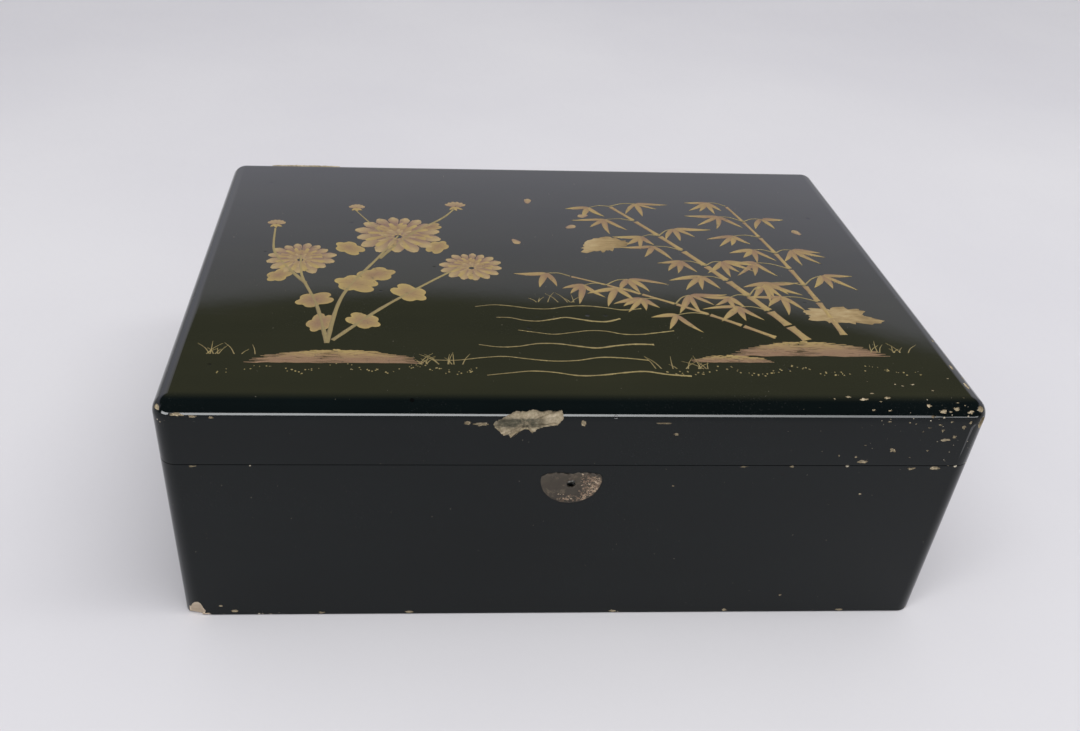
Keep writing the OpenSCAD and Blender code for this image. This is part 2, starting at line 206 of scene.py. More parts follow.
def ring_skin(bm, rings, close=False):
    """Joins closed rings of as many points each, and caps the two ends unless they meet."""
    loops = [[bm.verts.new(p) for p in ring] for ring in rings]
    n = len(loops[0])
    pairs = list(zip(loops, loops[1:])) + ([(loops[-1], loops[0])] if close else [])
    for a, b in pairs:
        for i in range(n):
            bm.faces.new((a[i], a[(i + 1) % n], b[(i + 1) % n], b[i]))
    if not close:
        bm.faces.new(loops[0][::-1])
        bm.faces.new(loops[-1])


def rounded_outline(half_w, half_d, r, steps=12):
    pts = []
    for k, (sx, sy) in enumerate(((1, 1), (-1, 1), (-1, -1), (1, -1))):
        for i in range(steps + 1):
            a = math.radians(90 * k + 90 * i / steps)
            pts.append((sx * (half_w - r) + r * math.cos(a), sy * (half_d - r) + r * math.sin(a)))
    return pts


def board_copy(name, node, finishes):
    """A piece with the mesh of a CAD board, its points welded."""
    bm = bmesh.new()
    bm.from_mesh(nodes[node].data)
    bmesh.ops.scale(bm, vec=(1 / MM, 1 / MM, 1 / MM), verts=bm.verts)
    bmesh.ops.remove_doubles(bm, verts=bm.verts, dist=WELD)
    return piece(name, bm, finishes, None)


def boards_joined(name, boards, finishes, body, extra=()):
    """One lacquered shell with the shape of its CAD boards, without the joints between them."""
    ob = board_copy(name, boards[0], finishes)
    for other in [*extra, *[board_copy(node + "_shape", node, finishes[:1]) for node in boards[1:]]]:
        bake_boolean(ob, other, "UNION")
        bpy.data.objects.remove(other)
    bm = bmesh.new()
    bm.from_mesh(ob.data)
    for f in bm.faces:
        f.material_index = 0
    bmesh.ops.remove_doubles(bm, verts=bm.verts, dist=WELD * MM)
    bmesh.ops.dissolve_limit(bm, angle_limit=math.radians(FLAT_UNDER), verts=bm.verts, edges=bm.edges)
    bm.to_mesh(ob.data)
    bm.free()
    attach(ob, body)
    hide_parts(*boards)
    return ob


def bake_boolean(ob, other, operation):
    m = ob.modifiers.new("shape", "BOOLEAN")
    m.object = other
    m.operation = operation
    m.solver = "EXACT"
    m.material_mode = "TRANSFER"
    m.use_self = True
    me = bpy.data.meshes.new_from_object(ob.evaluated_get(bpy.context.evaluated_depsgraph_get()))
    ob.modifiers.clear()
    old, ob.data = ob.data, me
    me.name = ob.name
    bpy.data.meshes.remove(old)


def front_edge(x, s, h):
    """A point h outside the lid: s runs from the flat top over the rounded front edge and down the front."""
    if s < 0:
        return (x, FRONT + CORNER - s, SKIN_TOP + h)
    if s > QUARTER:
        return (x, FRONT - h, SKIN_TOP - CORNER - (s - QUARTER))
    a = s / CORNER
    return (x, FRONT + CORNER - (CORNER + h) * math.sin(a), SKIN_TOP - CORNER + (CORNER + h) * math.cos(a))


def right_edge(y, s, h):
    """The same over the lid's right edge, y along it."""
    _, across, z = front_edge(0, s, h)
    return (HALF_W - (across - FRONT), y, z)


def flat_front(x, z, h):
    return (x, FRONT - h, z)


def middle_of(outline):
    return sum(p[0] for p in outline) / len(outline), sum(p[1] for p in outline) / len(outline)


def ragged(cu, cv, ru, rv, rng, rough=0.35, count=26):
    """A torn outline round a middle."""
    phase = rng.uniform(0, 99)
    pts = []
    for i in range(count):
        a = 2 * math.pi * i / count
        k = 1 + rough * (noise.noise((math.cos(a) * 1.6 + phase, math.sin(a) * 1.6, phase)) * 1.6
                         + noise.noise((math.cos(a) * 6, math.sin(a) * 6 + phase, 3)) * 0.9)
        pts.append((cu + ru * k * math.cos(a), cv + rv * k * math.sin(a)))
    return pts


# Rings of a pit's cutter: how far out each lies, and whether it is above the surface or on the pit's floor
PIT_RINGS = ((0.04, True), (0.5, True), (1.0, True), (0.97, False), (0.8, False), (0.55, False), (0.3, False),
             (0.04, False))


def chip(bm, outline, depth, place, outside=0.8):
    """A closed cutter: the outline's pit floor is rough, and its top is clear of the surface."""
    cu, cv = middle_of(outline)
    outline = sorted(outline, key=lambda p: math.atan2(p[1] - cv, p[0] - cu))
    rings = []
    for share, above in PIT_RINGS:
        ring = []
        for u, v in outline:
            pu, pv = cu + (u - cu) * share, cv + (v - cv) * share
            pit = noise.noise((pu * 0.9, pv * 0.9, cu)) * 0.5 + noise.noise((pu * 2.7, pv * 2.7, cv)) * 0.3
            fall = 0.55 if share > 0.9 else 1.0
            ring.append(place(pu, pv, outside if above else -depth * max(0.25, fall + pit)))
        rings.append(ring)
    ring_skin(bm, rings)


def chips_at(bm, rows, depth, place, rng, rough, count):
    """Small ragged pits, each row giving a place and its two radii."""
    for row in rows:
        chip(bm, ragged(*row, rng, rough, count), depth, place, 0.5)


def cut(ob, cutters):
    """Takes closed cutters out of a piece; the pits get the cutters' finish."""
    for cutter in cutters:
        bake_boolean(ob, cutter, "DIFFERENCE")
    for p in ob.data.polygons:
        p.use_smooth = True
    ob.data.set_sharp_from_angle(angle=math.radians(PIT_SMOOTH_UNDER))
    even = ob.modifiers.new("flat_faces_lead", "WEIGHTED_NORMAL")
    even.mode, even.weight, even.keep_sharp = "FACE_AREA", 100, True


# Finishes
def ground_finish():
    """The pale ground under the lacquer: cream where freshly broken, grey olive in the big chip's middle."""
    f = Finish("chip_ground", Roughness=0.92, Specular=0.2)
    x, _, z = f.xyz()
    grain = f.noise(900, 5, 0.7)
    stain = f.noise(170, 3)
    cream = f.ramp(grain * 0.6 + stain * 0.4,
                   (0.34, (0.20, 0.165, 0.105)), (0.5, (0.38, 0.315, 0.21)), (0.64, (0.56, 0.48, 0.345)))
    grey = f.ramp(grain * 0.6 + stain * 0.4,
                  (0.36, (0.050, 0.047, 0.034)), (0.52, (0.125, 0.115, 0.080)), (0.68, (0.250, 0.225, 0.165)))
    middle = x.step(-31, -28) * (1 - x.step(-16, -10)) * z.step(95.4, 96.4) * (1 - z.step(99.2, 100.4))
    f.set("Base Color", f.mix(middle * f.noise(240, 4, 0.7).step(0.30, 0.50), cream, grey))
    f.bump(grain, 0.7, 0.0002)
    return f


def edge_flecks(f, x, y, z):
    """Mask of small pale losses, thick at the right front corner and thin along the other edges."""
    right = x.step(92, 146) * (1 - y.step(-106, -84)) * z.step(74, 90)
    seam = z.step(77.5, 78.7) * (1 - z.step(79.4, 80.6)) * f.noise(55, 2).step(0.55, 0.66)
    foot = 1 - z.step(0.2, 1.6)
    left = (1 - x.step(-151, -138)) * (1 - y.step(-106, -98)) * z.step(90, 102)
    spot = f.cells(430) + f.noise(900, 3) * 0.30
    size = right * (0.08 + 0.11 * z.step(96, 103)) + seam * 0.26 + foot * 0.17 + left * 0.22
    drift = f.noise(45, 2).step(0.42, 0.62)
    return (size * (0.45 + drift * 0.8) + 0.165 - spot).step(0.0, 0.03)


def lacquer(name, top_deep, top_olive, side_deep, side_pale, rough):
    """Black lacquer, browned to olive on the lid's top, with painted shade along the top's front edge."""
    f = Finish(name, Specular=0.25, IOR=1.5)
    x, y, z = f.xyz()
    streak = f.noise(30, 4, 0.6, (0.25, 1.6, 1.6))
    cloud = f.noise(14, 3)
    shade = (streak * 0.6 + cloud * 0.5).clip()
    upward = f.split(f.node("ShaderNodeNewGeometry", output="Normal"))[2]
    # Painted shade: near the lid's front edge the olive gives way to the darker side colour. This stands in
    # for the dark band that the rounded edge reflects.
    edge_painted_shade = 1 - y.step(-101.5, -97.5)
    on_top = upward.step(0.90, 0.995) * z.step(LID_TOP - 3, LID_TOP - 0.4) * (1 - 0.75 * edge_painted_shade)
    colour = f.mix(on_top, f.mix(shade, side_deep, side_pale), f.mix(shade, top_deep, top_olive))
    pits = (0.10 - f.cells(95)).step(0.0, 0.02) * f.noise(60, 2).step(0.56, 0.62)
    dust = (f.noise(1500, 2) - 0.60).step(0, 0.14) * f.noise(22, 3).step(0.40, 0.75)
    colour = f.mix(pits * 0.85, colour, (0.002, 0.002, 0.002))
    colour = f.mix(dust * 0.10, colour, (0.20, 0.20, 0.19))
    scratch = f.noise(260, 3, 0.6, (0.08, 1.0, 1.0), 0.4).step(0.66, 0.72) * 0.5
    roughness = rough + streak * 0.03 + dust * 0.08 + scratch * 0.06
    flecks = edge_flecks(f, x, y, z)
    pale = f.ramp(f.noise(800, 3), (0.35, (0.24, 0.20, 0.13)), (0.6, (0.55, 0.49, 0.38)))
    f.set("Base Color", f.mix(flecks, colour, pale))
    f.set("Roughness", roughness + flecks * 0.6)
    f.bump(cloud * 0.5 + f.noise(420, 2) * 0.03 - pits * 0.25 - flecks * 0.3, 0.30, 0.0003)
    return f


def metal(name, dark, light, rough, grain=500, metallic=0.9, spots=None):
    f = Finish(name)
    cloud = f.noise(grain * 0.3, 4, 0.65)
    fine = f.noise(grain * 3, 3)
    colour = f.mix(cloud.step(0.3, 0.7), dark, light)
    if spots:
        mask = f.noise(grain * 0.8, 5, 0.7).step(0.54, 0.66)
        colour = f.mix(mask, colour, spots)
        f.set("Metallic", metallic * (1 - mask * 0.7))
    else:
        f.set("Metallic", metallic)
    f.set("Base Color", colour)
    f.set("Roughness", rough + cloud * 0.22 + fine * 0.1)
    f.bump(fine * 0.4 + cloud * 0.6, 0.4, 0.0001)
    return f


def bare_wood(name, dark, light):
    f = Finish(name, Specular=0.3)
    grain = f.noise(60, 5, 0.65, (0.12, 1.4, 1.4), 0.6)
    pore = f.noise(700, 3, 0.6, (0.06, 1, 1))
    f.set("Base Color", f.ramp(grain * 0.7 + pore * 0.3, (0.3, dark), (0.7, light)))
    f.set("Roughness", 0.62 + pore * 0.2)
    f.bump(pore + grain, 0.4, 0.0002)
    return f


def gilt(name, gold, rose, tone_shift=0.0, metallic=0.25):
    """Powdered gold: a tone kept on the mesh runs it towards copper rose."""
    f = Finish(name, Specular=0.4)
    tone = f.node("ShaderNodeAttribute", {"attribute_name": "tone"}, output="Fac")
    cloud = f.noise(110, 4, 0.6)
    powder = f.noise(2600, 2, 0.7)
    worn = (f.noise(300, 4, 0.7) - 0.60).step(0.0, 0.08)
    shade = (tone + cloud * 0.7 - 0.35 + tone_shift).clip()
    colour = f.mix(shade, gold, rose)
    colour = f.mix((powder - 0.5).step(0.0, 0.25) * 0.30, colour, (0.52, 0.41, 0.20))
    colour = f.mix(worn * 0.55, colour, (0.035, 0.030, 0.018))
    f.set("Base Color", colour)
    f.set("Metallic", metallic - worn * metallic)
    f.set("Roughness", 0.42 + powder * 0.18)
    f.bump(powder * 0.5 + cloud, 0.25, 0.00008)
    return f


side_lacquer = lacquer("lacquer_worn", (0.014, 0.0155, 0.0095), (0.027, 0.027, 0.0145),
                       (0.0014, 0.0022, 0.0022), (0.0042, 0.0074, 0.0080), 0.02)
bottom_lacquer = bare_wood("underside_lacquer", (0.018, 0.014, 0.010), (0.045, 0.034, 0.022))
ground = ground_finish()
raw_wood = bare_wood("corner_bare_wood", (0.40, 0.31, 0.22), (0.66, 0.56, 0.43))
hinge_brass = metal("hinge_aged_brass", (0.16, 0.10, 0.04), (0.48, 0.34, 0.15), 0.30)
screw_brass = metal("screw_aged_brass", (0.18, 0.12, 0.05), (0.42, 0.30, 0.14), 0.34)
lock_brass = metal("lock_sheet_brass", (0.26, 0.19, 0.08), (0.50, 0.38, 0.18), 0.32)
lock_steel = metal("lock_filed_steel", (0.22, 0.21, 0.20), (0.48, 0.47, 0.45), 0.30)
spring_steel = metal("lock_spring_steel", (0.10, 0.11, 0.14), (0.30, 0.30, 0.33), 0.28)
plate_bronze = metal("keyhole_plate_bronze", (0.020, 0.015, 0.010), (0.047, 0.037, 0.025), 0.45,
                     420, 0.35, (0.075, 0.055, 0.036))
crust_copper = metal("keyhole_plate_crust", (0.075, 0.045, 0.028), (0.38, 0.27, 0.18), 0.55,
                     900, 0.2, (0.52, 0.42, 0.30))

for finish, names in (
    (side_lacquer, ("front_board", "back_board", "left_board", "right_board",
                    "lid_front_rail", "lid_back_rail", "lid_left_rail", "lid_right_rail", "lid_top_board")),
    (bottom_lacquer, ("bottom_board",)),
    (hinge_brass, ("hinge_left_body_leaf", "hinge_left_lid_leaf", "hinge_left_pin",
                   "hinge_right_body_leaf", "hinge_right_lid_leaf", "hinge_right_pin")),
    (screw_brass, ("hinge_body_screws", "hinge_lid_screws", "lock_screws", "strike_screws")),
    (lock_brass, ("lock_case", "lock_cap", "strike_plate")),
    (lock_steel, ("lock_bolt", "lock_cam")),
    (spring_steel, ("lock_spring",)),
    (plate_bronze, ("lock_plate",)),
):
    for name in names:
        nodes[name].data.materials.clear()
        nodes[name].data.materials.append(finish.mat)


# Lid, boards and their chips
def lid_top():
    """The rounded lid board, its lacquered face set down by the thickness of the gilding."""
    bm = bmesh.new()
    shoulder = SKIN_TOP - CORNER
    turns = [math.radians(90 * i / 14) for i in range(1, 15)]
    profile = [(0.0, lid_low[2]), (0.0, shoulder)]
    profile += [(CORNER - CORNER * math.cos(a), shoulder + CORNER * math.sin(a)) for a in turns]
    rings = []
    for inset, z in profile:
        r = max(CORNER - inset, 0.6)
        rings.append([(x, y, z) for x, y in rounded_outline(HALF_W - inset, HALF_D - inset, r)])
    ring_skin(bm, rings)
    return piece("lid_top_shape", bm, (side_lacquer,), None)


def chip_cutter(name, finish, build):
    bm = bmesh.new()
    build(bm)
    return piece(name, bm, (finish,), None)


# Outline of the big chip in the lid's front edge: along the edge, and down over it
BIG_CHIP = ((-30, 10.6), (-28.2, 9.9), (-25.9, 8.2), (-22.7, 6.6), (-19.5, 6.9), (-16.5, 6.0), (-13.5, 6.9),
            (-11, 6.4), (-8.6, 6.9), (-6.1, 6.2), (-5.2, 9.4), (-7.2, 12.4), (-9, 12.6), (-11.3, 12.9),
            (-13, 13.6), (-14.7, 14.2), (-15.4, 15.3), (-16.5, 16.4), (-17.6, 14.3), (-19.4, 14.2),
            (-20.9, 15.2), (-22.2, 16.4), (-23.9, 18.8), (-24.8, 16.6), (-26.4, 17.4), (-27.5, 16.5),
            (-28.8, 14.9), (-30.2, 13.4), (-30.8, 12.0))

# Losses along the lid's front edge: place along it, place over it and two radii
FRONT_LOSSES = ((-141.5, 8.6, 2.8, 0.6), (-136.0, 9.2, 1.4, 0.45), (-130.0, 9.6, 0.8, 0.35),
                (118.3, 23.6, 1.0, 0.9), (136.5, 18.6, 1.7, 0.6), (139.5, 17.2, 0.8, 0.6),
                (108.6, 29.0, 1.6, 0.7), (99.0, 0.4, 0.9, 0.5), (104.5, 1.6, 1.5, 0.6),
                (113.0, 0.8, 1.1, 0.6), (127.5, 4.2, 1.0, 0.5), (133.0, 6.4, 1.5, 0.6),
                (138.0, 5.4, 1.2, 0.6), (143.0, 6.6, 1.2, 0.7), (129.0, 8.2, 0.8, 0.4),
                (141.8, 12.6, 0.7, 0.8), (143.6, 10.6, 0.5, 0.6), (36.0, 16.4, 0.7, 0.5))

# The same over the lid's right edge
RIGHT_LOSSES = ((-92.0, 2.0, 1.8, 0.7), (-86.0, 3.6, 1.0, 0.5), (-79.5, 1.4, 1.5, 0.5),
                (-70.0, 4.2, 0.8, 0.4), (-60.5, 2.4, 0.9, 0.5), (-95.0, 8.0, 1.3, 0.8),
                (-88.0, 14.0, 0.8, 0.6))

# Losses on the front board: place across, height and two radii
BODY_LOSSES = ((111.6, 65.0, 0.5, 0.4), (38.7, 69.0, 0.4, 0.4), (92.7, 9.7, 0.6, 0.4),
               (-136.1, 5.0, 0.7, 0.4), (-131.0, 2.0, 1.4, 0.7), (-60.0, 1.0, 1.8, 0.5),
               (24.0, 0.8, 1.4, 0.5), (71.0, 1.1, 1.0, 0.6), (120.0, 0.8, 1.6, 0.5),
               (-96.0, 0.8, 1.2, 0.6), (128.0, 77.6, 1.4, 0.6), (137.0, 77.8, 1.8, 0.7),
               (82.0, 78.5, 1.0, 0.35), (64.0, 78.4, 1.6, 0.3), (-139.0, 78.3, 1.3, 0.35))

# Spots beside the big chip: the same four numbers, then the outline's roughness and the pit's depth
NEAR_BIG_CHIP = ((-34.6, 12.0, 2.4, 0.75, 0.5, 0.4), (-39.6, 11.4, 1.3, 0.8, 0.35, 0.4),
                 (1.9, 11.4, 0.9, 1.2, 0.35, 0.4), (31.0, 11.3, 2.4, 0.35, 0.35, 0.3))

# Flecks: further right a cutter would hover outside the rounded corner, and nearer ones would overlap
FLECK_TRIES = 70
FLECK_RIGHT = 143.6
FLECK_APART = 2.4

rng = random.Random(11)


def big_chip_outline():
    """The big chip's outline with a finely torn edge between its corners."""
    fine = []
    for (u0, v0), (u1, v1) in zip(BIG_CHIP, BIG_CHIP[1:] + BIG_CHIP[:1]):
        for i in range(6):
            t = i / 6
            u, v = u0 + (u1 - u0) * t, v0 + (v1 - v0) * t
            k = 0.0 if t == 0 else 0.46
            du, dv = noise.noise((u * 2.9, v * 2.9, 1)), noise.noise((u * 2.9, v * 2.9, 6))
            fine.append((u + k * du, v + k * dv))
    return fine


def front_chips(bm):
    chip(bm, big_chip_outline(), 0.75, front_edge)
    for x, s, rx, rs, rough, depth in NEAR_BIG_CHIP:
        chip(bm, ragged(x, s, rx, rs, rng, rough), depth, front_edge)
    chips_at(bm, FRONT_LOSSES, 0.3, front_edge, rng, 0.5, 18)


def scattered_flecks(bm):
    """Fine flecks towards the right front corner, kept apart and off its rounding."""
    placed = [row[:2] for row in FRONT_LOSSES[3:17]]
    for _ in range(FLECK_TRIES):
        x = 150 - abs(rng.gauss(0, 24))
        s = rng.gauss(1.0, 7.0) if rng.random() < 0.6 else rng.uniform(6, 28)
        clear = all(math.dist((x, s), p) > FLECK_APART for p in placed)
        if clear and 92 < x < FLECK_RIGHT and -16 < s < 27:
            placed.append((x, s))
            outline = ragged(x, s, rng.uniform(0.15, 0.8), rng.uniform(0.12, 0.4), rng, 0.6, 11)
            chip(bm, outline, 0.18, front_edge, 0.3)


def corner_nick(bm, middle, size, seed):
    """A ragged ball that bites a corner."""
    ball = bmesh.ops.create_icosphere(bm, subdivisions=3, radius=1.0)["verts"]
    for v in ball:
        coarse = noise.noise(v.co * 1.7 + Vector((seed, 0, 0)))
        k = 1 + 0.30 * coarse + 0.14 * noise.noise(v.co * 6 + Vector((0, seed, 0)))
        v.co = Vector(middle) + Vector([c * k * s for c, s in zip(v.co, size)])


def lid_nicks(bm):
    front_chips(bm)
    scattered_flecks(bm)
    chips_at(bm, RIGHT_LOSSES, 0.3, right_edge, rng, 0.5, 18)
    corner_nick(bm, (-149.6, -104.0, 103.3), (1.9, 2.1, 1.5), 3)
    corner_nick(bm, (148.6, -104.6, 98.5), (1.7, 1.9, 2.3), 8)
    corner_nick(bm, (147.2, -103.4, 103.6), (1.5, 1.2, 1.1), 5)


def body_spots(bm):
    chips_at(bm, BODY_LOSSES, 0.25, flat_front, rng, 0.4, 16)


def foot_nicks(bm):
    corner_nick(bm, (-149.6, -106.3, 0.4), (7.0, 2.3, 7.8), 21)
    corner_nick(bm, (150.6, -106.0, 0.2), (2.4, 2.6, 3.0), 14)
    corner_nick(bm, (-143.0, -106.9, -0.6), (5.0, 1.25, 2.0), 33)


lid_cutter = chip_cutter("lid_cutter", ground, lid_nicks)
spot_cutter = chip_cutter("spot_cutter", ground, body_spots)
foot_cutter = chip_cutter("foot_cutter", raw_wood, foot_nicks)
lid_shell = boards_joined("lid_shell_lacquer",
                          ("lid_front_rail", "lid_back_rail", "lid_left_rail", "lid_right_rail"),
                          (side_lacquer, ground), "lid", (lid_top(),))
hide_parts("lid_top_board")
cut(lid_shell, [lid_cutter])
body_shell = boards_joined("body_shell_lacquer",
                           ("front_board", "back_board", "left_board", "right_board"),
                           (side_lacquer, ground, raw_wood), "box_body")
cut(body_shell, [spot_cutter, foot_cutter])
for cutter in (lid_cutter, spot_cutter, foot_cutter):
    bpy.data.objects.remove(cutter)


# Gilded design on the lid
class Gilding:
    """Gathers raised gold shapes in one mesh; each point keeps its tone, 0 gold to 1 rose."""

    def __init__(self):
        self.bm = bmesh.new()
        self.tone = self.bm.verts.layers.float.new("tone")

    def vert(self, x, y, z, tone):
        v = self.bm.verts.new((x, y, z))
        v[self.tone] = tone
        return v

    def band(self, path, widths, tones, crown=0.6, rise=1.0):
        """A closed band along a path, highest along its middle."""
        n = len(path)
        rows = []
        for i, (x, y) in enumerate(path):
            a, b = path[max(i - 1, 0)], path[min(i + 1, n - 1)]
            d = math.hypot(b[0] - a[0], b[1] - a[1]) or 1
            nx, ny = -(b[1] - a[1]) / d, (b[0] - a[0]) / d
            w, t = max(widths[i] / 2, 0.03), tones[i]
            left, right = (x + nx * w, y + ny * w), (x - nx * w, y - ny * w)
            edge = SKIN_TOP + GILT_T * rise * (1 - crown)
            rows.append([self.vert(*left, GILT_FOOT, t), self.vert(*left, edge, t + 0.45),
                         self.vert(x, y, SKIN_TOP + GILT_T * rise, t - 0.15),
                         self.vert(*right, edge, t + 0.1), self.vert(*right, GILT_FOOT, t)])
        for a, b in zip(rows, rows[1:]):
            for i in range(5):
                self.bm.faces.new((a[i], a[(i + 1) % 5], b[(i + 1) % 5], b[i]))
        self.bm.faces.new(rows[0][::-1])
        self.bm.faces.new(rows[-1])

    def patch(self, outline, tone, middle_tone=None):
        """A flat shape inside an outline, its edge slightly lower than its middle."""
        cu, cv = middle_of(outline)
        mid = tone if middle_tone is None else middle_tone
        n = len(outline)
        low = [self.vert(x, y, GILT_FOOT, tone) for x, y in outline]
        top = [self.vert(x, y, SKIN_TOP + GILT_T * 0.3, tone) for x, y in outline]
        part, half_tone = 0.62, (tone + mid) / 2
        ring = [self.vert(cu + (x - cu) * part, cv + (y - cv) * part, SKIN_TOP + GILT_T * 0.6, half_tone)
                for x, y in outline]
        peak = self.vert(cu, cv, SKIN_TOP + GILT_T * 0.7, mid)
        for i in range(n):
            j = (i + 1) % n
            self.bm.faces.new((low[i], low[j], top[j], top[i]))
            self.bm.faces.new((top[i], top[j], ring[j], ring[i]))
            self.bm.faces.new((ring[i], ring[j], peak))
        self.bm.faces.new(low[::-1])

    def leaf(self, x, y, angle, length, width, tone=(0.0, 0.3), bend=0.12, fat=0.42):
        """A pointed leaf: fat says how far along it is widest."""
        path, widths, tones = [], [], []
        steps = 12
        for i in range(steps + 1):
            t = i / steps
            a = math.radians(angle) + bend * (t - 0.5) * 2
            path.append((x + length * t * math.cos(a), y + length * t * math.sin(a)))
            widths.append(width * (math.sin(math.pi * t ** (math.log(0.5) / math.log(fat)))) ** 0.85)
            tones.append(tone[0] + (tone[1] - tone[0]) * t)
        self.band(path, widths, tones, 0.5, 0.8)

    def petal(self, x, y, angle, r0, r1, width, tone):
        """A petal with a round, slightly notched end."""
        path, widths, tones = [], [], []
        steps = 8
        ca, sa = math.cos(math.radians(angle)), math.sin(math.radians(angle))
        for i in range(steps + 1):
            t = i / steps
            r = r0 + (r1 - r0) * t
            tip = 1 if t < 0.85 else 0.72 if t < 0.97 else 0.3
            path.append((x + r * ca, y + r * sa))
            widths.append(width * (0.35 + 0.65 * math.sin(math.pi * min(t * 0.66, 0.5))) * tip)
            tones.append(tone[0] + (tone[1] - tone[0]) * t)
        self.band(path, widths, tones, 0.7, 0.8)

    def line(self, points, w0, w1, tone=(0, 0), wander=0.0, steps=10):
        """A brush line through points, smoothed, its width running from w0 to w1."""
        pts = []
        for i in range(len(points) - 1):
            p0, p1 = points[max(i - 1, 0)], points[i]
            p2, p3 = points[i + 1], points[min(i + 2, len(points) - 1)]
            for k in range(steps):
                pts.append(smooth_point(p0, p1, p2, p3, k / steps))
        pts.append(points[-1])
        n = len(pts) - 1
        widths, tones = [], []
        for i in range(n + 1):
            waver = 1 + wander * noise.noise((i * 0.45, w0, points[0][0]))
            widths.append((w0 + (w1 - w0) * i / n) * waver)
            tones.append(tone[0] + (tone[1] - tone[0]) * i / n)
        self.band(pts, widths, tones, 0.6)

    def dot(self, x, y, r, tone):
        turns = [math.pi * 2 * i / 7 for i in range(7)]
        self.patch([(x + r * math.cos(a), y + r * math.sin(a)) for a in turns], tone)

    def done(self, name, finish):
        return piece(name, self.bm, (finish,), "lid", (), 60)


def smooth_point(p0, p1, p2, p3, t):
    """A point a share t of the way from p1 to p2, on a smooth curve through all four."""
    return tuple(0.5 * (2 * p1[c] + (p2[c] - p0[c]) * t + (2 * p0[c] - 5 * p1[c] + 4 * p2[c] - p3[c]) * t * t
                        + (3 * p1[c] - p0[c] - 3 * p2[c] + p3[c]) * t ** 3) for c in (0, 1))


def along(x, y, angle, reach, shares):
    """Points at shares of a reach from a place, in one direction."""
    return [(x + reach * t * math.cos(angle), y + reach * t * math.sin(angle)) for t in shares]


art = random.Random(29)
gold_leafing = gilt("gilding_gold", (0.430, 0.315, 0.105), (0.265, 0.160, 0.090))
rose_leafing = gilt("gilding_rose", (0.450, 0.330, 0.150), (0.240, 0.145, 0.105), 0.12)
line_gilding = gilt("gilding_fine_lines", (0.330, 0.260, 0.100), (0.190, 0.140, 0.070), 0.0, 0.2)


# Canes from foot to top as four points each, with their width and the number of joints
CANES = (((96, -62), (84, -30), (66, 10), (36, 58), 3.6, 9),
         ((112, -58), (110, -24), (106, 14), (94, 60), 2.6, 8),
         ((84, -60), (62, -42), (38, -26), (8, -12), 2.0, 6))


def bamboo(g, lines):
    """Leaning canes with jointed lengths, and leaves in hanging fans."""
    for a, b, c, d, w, joints in CANES:
        def at(t):
            u = 1 - t
            return tuple(u ** 3 * a[k] + 3 * t * u ** 2 * b[k] + 3 * t * t * u * c[k] + t ** 3 * d[k]
                         for k in (0, 1))

        for i in range(joints):
            t0, t1 = i / joints + 0.006, (i + 1) / joints - 0.006
            pts = [at(t0 + (t1 - t0) * k / 6) for k in range(7)]
            taper = w * (1 - 0.55 * i / joints)
            widths = [taper * (1.22 if k in (0, 6) else 0.98 + 0.05 * math.cos(k)) for k in range(7)]
            g.band(pts, widths, [0.25 + 0.35 * k / 6 for k in range(7)], 0.7)
        for i in range(2, joints + 1):
            for side in ((1, -1) if i % 2 else (-1,)):
                bamboo_twig(g, lines, *at(i / joints), side)


def bamboo_twig(g, lines, x, y, side):
    """A thin twig with a hanging fan of three to five leaves at its tip."""
    reach = art.uniform(8, 15)
    aim = art.uniform(15, 50) if side > 0 else art.uniform(150, 190)
    tip = (x + reach * math.cos(math.radians(aim)), y + reach * math.sin(math.radians(aim)))
    lines.line([(x, y), ((x + tip[0]) / 2, (y + tip[1]) / 2 + 1.5), tip], 0.8, 0.4, (0.3, 0.1))
    count = art.choice((3, 4, 4, 5))
    for k in range(count):
        turn = 270 + side * 25 + 112 * (k / (count - 1) - 0.5) + art.uniform(-7, 7)
        length, start = art.uniform(10, 17), 1.2 * k / count
        foot = (tip[0] + side * start, tip[1] + start * 0.5)
        tone = (art.uniform(0.5, 1.3), art.uniform(-0.1, 0.3))
        g.leaf(*foot, turn, length, art.uniform(2.2, 3.1), tone, art.uniform(-0.12, 0.12), 0.34)
        g.band(along(*foot, math.radians(turn), length, (0.08, 0.3, 0.55)), [0.2, 0.26, 0.1], [1.5, 1.5, 1.2])


def chrysanthemum(g, rose, x, y, r, seed, squash=0.62):
    """Layers of petals round a low heart, seen slightly from one side."""
    layers = ((1.0, 15, 0.34), (0.76, 12, 0.24), (0.50, 9, 0.16))
    for layer, (share, count, inner) in enumerate(layers):
        target = rose if layer != 1 else g
        base = y - r * 0.10 * layer
        for i in range(count):
            a = 360 * (i + 0.5 * (layer % 2)) / count + seed
            lean = 1 - squash * 0.35 * max(0, math.sin(math.radians(a)))
            r1 = r * share * lean * art.uniform(0.93, 1.05)
            width = 2 * math.pi * r1 / count * 0.74
            target.petal(x, base, a, r * inner * share, r1, width, (1.25 - 0.25 * layer, -0.15))
            crease = along(x, base, math.radians(a), r1, (0.45, 0.65, 0.86))
            target.band(crease, [0.16, 0.22, 0.08], [1.5, 1.4, 1.0])
    for i in range(9):
        a = math.radians(40 * i)
        g.dot(x + 0.13 * r * math.cos(a), y - 0.2 * r + 0.13 * r * math.sin(a), 0.055 * r, 0.0)


